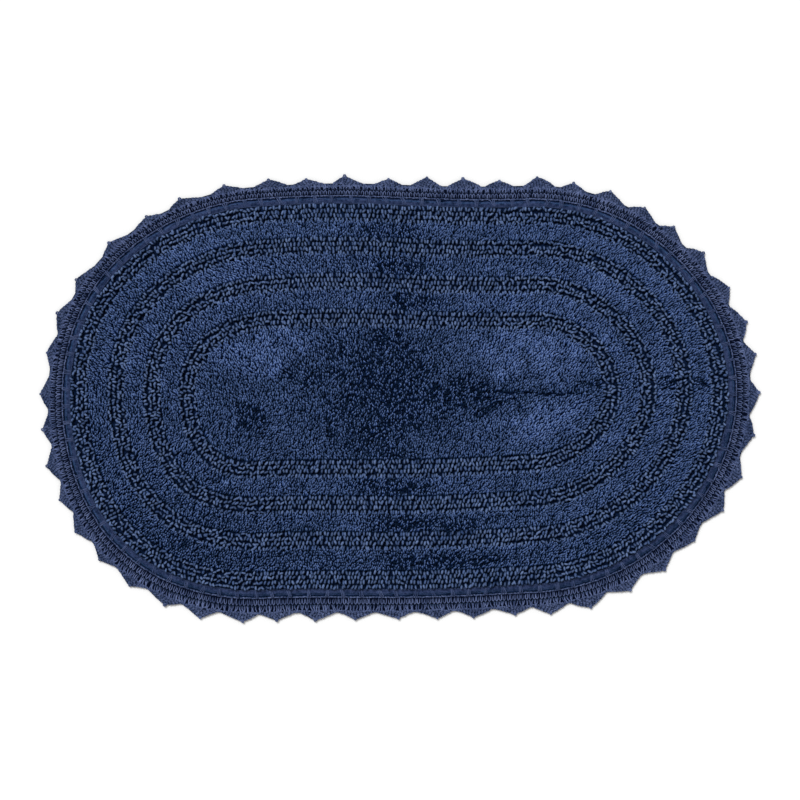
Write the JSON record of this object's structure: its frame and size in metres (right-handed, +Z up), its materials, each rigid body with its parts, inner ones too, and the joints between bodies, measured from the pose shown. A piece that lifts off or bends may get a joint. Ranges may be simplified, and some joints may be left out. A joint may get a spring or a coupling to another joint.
{
  "type": "bath mat",
  "caption": "Oval cotton bath mat with rings of looped and cut pile, a taped edge and a pointed crochet lace border.",
  "frame": {"origin": "on the floor under the middle of the mat, as its lace border outlines it", "axes": "+X along the mat's length, +Y across it, +Z up out of the pile"},
  "size_m": [0.8631, 0.533, 0.012],
  "materials": {
    "cut_pile": "navy cotton cut pile, matt with a soft sheen",
    "looped_pile": "navy cotton loops, matt",
    "back_stitches": "navy cotton yarn stitches, matt",
    "ground_cloth": "navy plain-woven cotton, matt",
    "binding_tape": "navy woven cotton tape, matt",
    "sewing_thread": "navy twisted sewing thread",
    "lace_yarn": "navy crocheted cotton yarn, matt"
  },
  "bodies": {
    "root": {"loop_ring_1": "looped_pile", "plush_ring_1": "cut_pile", "loop_ring_2": "looped_pile", "plush_ring_2": "cut_pile", "loop_ring_3": "looped_pile", "plush_ring_3": "cut_pile", "loop_ring_4": "looped_pile", "middle_plush": "cut_pile", "loop_ring_1_back": "back_stitches", "plush_ring_1_back": "back_stitches", "loop_ring_2_back": "back_stitches", "plush_ring_2_back": "back_stitches", "loop_ring_3_back": "back_stitches", "plush_ring_3_back": "back_stitches", "loop_ring_4_back": "back_stitches", "middle_plush_back": "back_stitches", "ground_cloth": "ground_cloth", "binding_tape": "binding_tape", "needle_thread": "sewing_thread", "bobbin_thread": "sewing_thread", "foundation_chain": "lace_yarn", "header_row_1": "lace_yarn", "header_row_2": "lace_yarn", "lace_points": "lace_yarn", "picots": "lace_yarn", "crochet_bars": "lace_yarn"}
  },
  "joints": []
}
